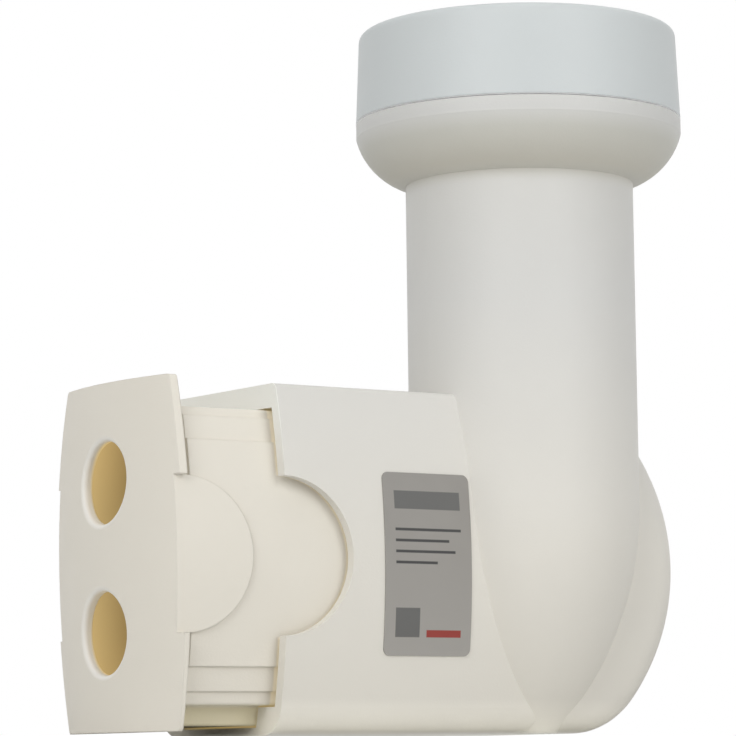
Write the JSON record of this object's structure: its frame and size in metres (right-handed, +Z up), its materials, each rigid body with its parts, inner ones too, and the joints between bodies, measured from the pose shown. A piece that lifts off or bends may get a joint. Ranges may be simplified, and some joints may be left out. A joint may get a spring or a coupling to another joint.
{
  "type": "satellite lnb",
  "caption": "Satellite dish low-noise block: round feed neck with a capped flange on a boxy body, and a weather hood that slides over the coaxial sockets.",
  "frame": {"origin": "where the feed neck's axis meets the flat base", "axes": "+Z up the feed neck, -X along the pulled-out weather hood, -Y towards the face with the label"},
  "size_m": [0.1072, 0.0614, 0.1233],
  "materials": {
    "housing_plastic": "satin moulded white",
    "hood_plastic": "satin moulded warm white",
    "cap_plastic": "satin moulded cool white",
    "seal_rubber": "matt black",
    "cast_metal": "as cast",
    "steel": "plated",
    "board": "coated board",
    "brass": "bare brass",
    "insulator": "white insulator",
    "nickel": "nickel plate",
    "label_foil": "silver grey foil"
  },
  "bodies": {
    "housing": {"front_shell": "housing_plastic", "back_shell": "housing_plastic", "feed_cap": "cap_plastic", "cap_seal": "seal_rubber", "feed_horn": "cast_metal", "cast_chassis": "cast_metal", "chassis_lid": "cast_metal", "lid_seal": "seal_rubber", "lid_screws": "steel", "circuit_board": "board", "shield_cans": "steel", "probe_high": "brass", "probe_low": "brass", "probe_sleeves": "insulator", "isolation_rod": "steel", "connector_upper": "nickel", "connector_lower": "nickel", "insulator_upper": "insulator", "insulator_lower": "insulator", "contact_upper": "brass", "contact_lower": "brass", "connector_washers": "seal_rubber", "label": "label_foil"},
    "hood": {"weather_hood": "hood_plastic"}
  },
  "joints": [
    {"name": "hood_slide", "type": "slide", "parent": "housing", "child": "hood", "axis": [1, 0, 0], "range_m": [0, 0.0176]}
  ]
}
